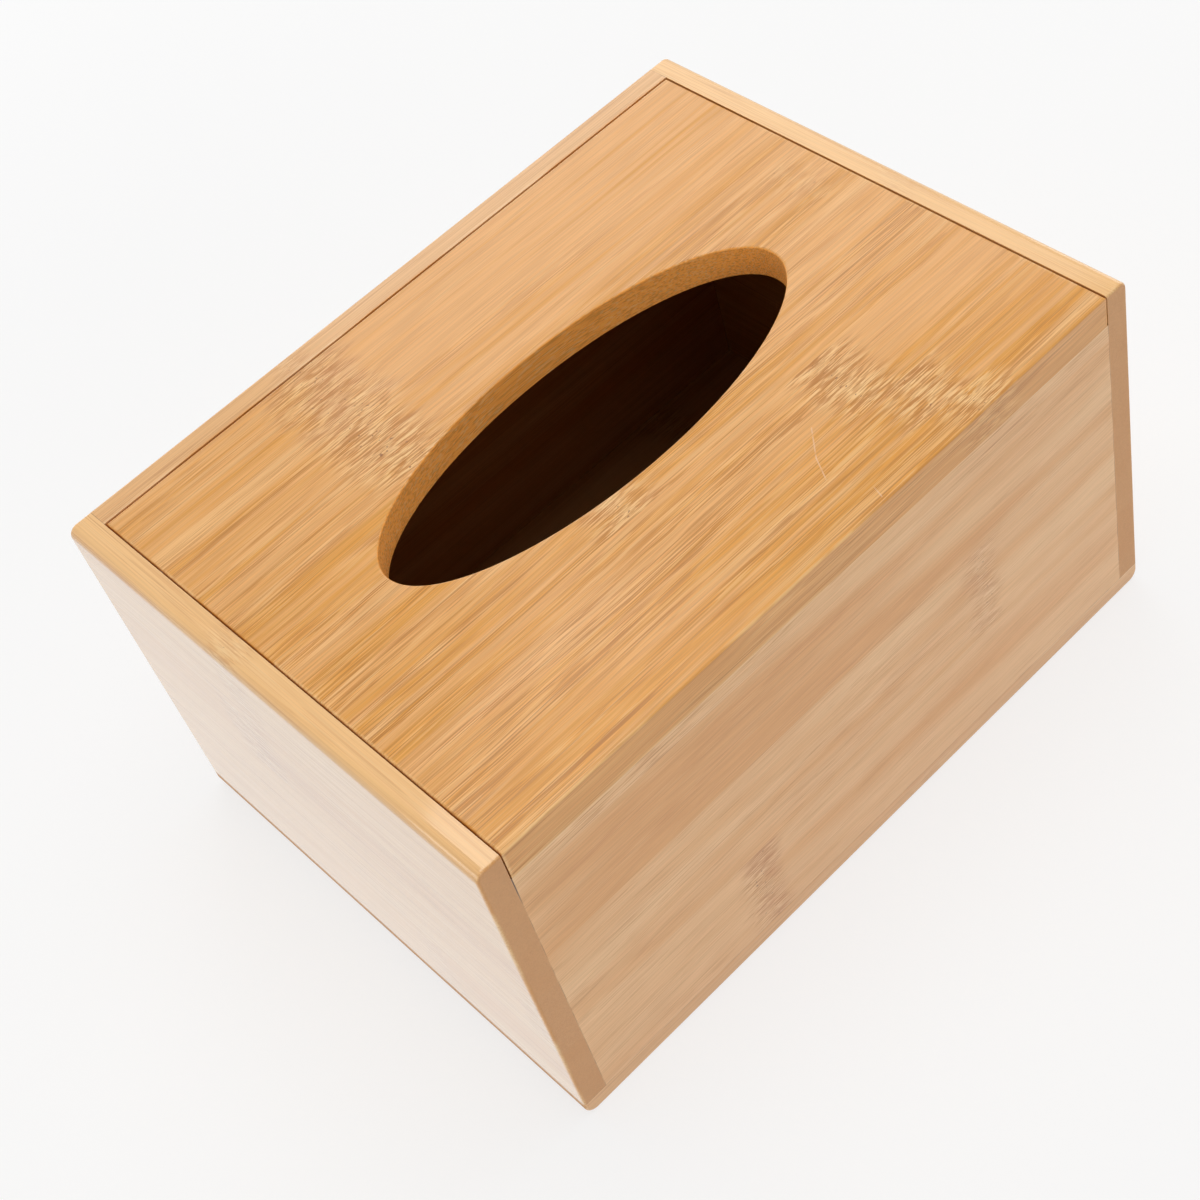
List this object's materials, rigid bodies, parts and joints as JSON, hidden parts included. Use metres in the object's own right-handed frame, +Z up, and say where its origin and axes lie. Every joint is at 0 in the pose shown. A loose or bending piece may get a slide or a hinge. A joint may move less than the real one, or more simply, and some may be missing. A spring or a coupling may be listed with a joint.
{
  "type": "tissue box cover",
  "caption": "Rectangular bamboo tissue box with a closed base and a flip-up lid on hidden pivot pins; tissues are pulled through an oval opening in the lid.",
  "frame": {"origin": "middle of the underside, on the surface the box stands on", "axes": "+X along the box to its right end, +Y from the front to the back, +Z up"},
  "size_m": [0.19, 0.141, 0.101],
  "materials": {
    "lid_bamboo": "laminated bamboo, grain along the box, semi-gloss clear lacquer",
    "wall_bamboo": "laminated bamboo, grain along the box, semi-gloss clear lacquer",
    "end_bamboo": "laminated bamboo, grain front to back, semi-gloss clear lacquer",
    "dowel_bamboo": "plain bamboo rod",
    "pin_steel": "drawn steel rod"
  },
  "bodies": {
    "box": {"base_board": "wall_bamboo", "left_end_board": "end_bamboo", "right_end_board": "end_bamboo", "front_board": "wall_bamboo", "back_board": "wall_bamboo", "front_corner_dowels": "dowel_bamboo", "back_corner_dowels": "dowel_bamboo"},
    "lid": {"lid_board": "lid_bamboo", "left_hinge_pin": "pin_steel", "right_hinge_pin": "pin_steel"}
  },
  "joints": [
    {"name": "lid_hinge", "type": "hinge", "parent": "box", "child": "lid", "pos_m": [0, 0.04415, 0.098], "axis": [-1, 0, 0], "range_deg": [0, 160]}
  ]
}
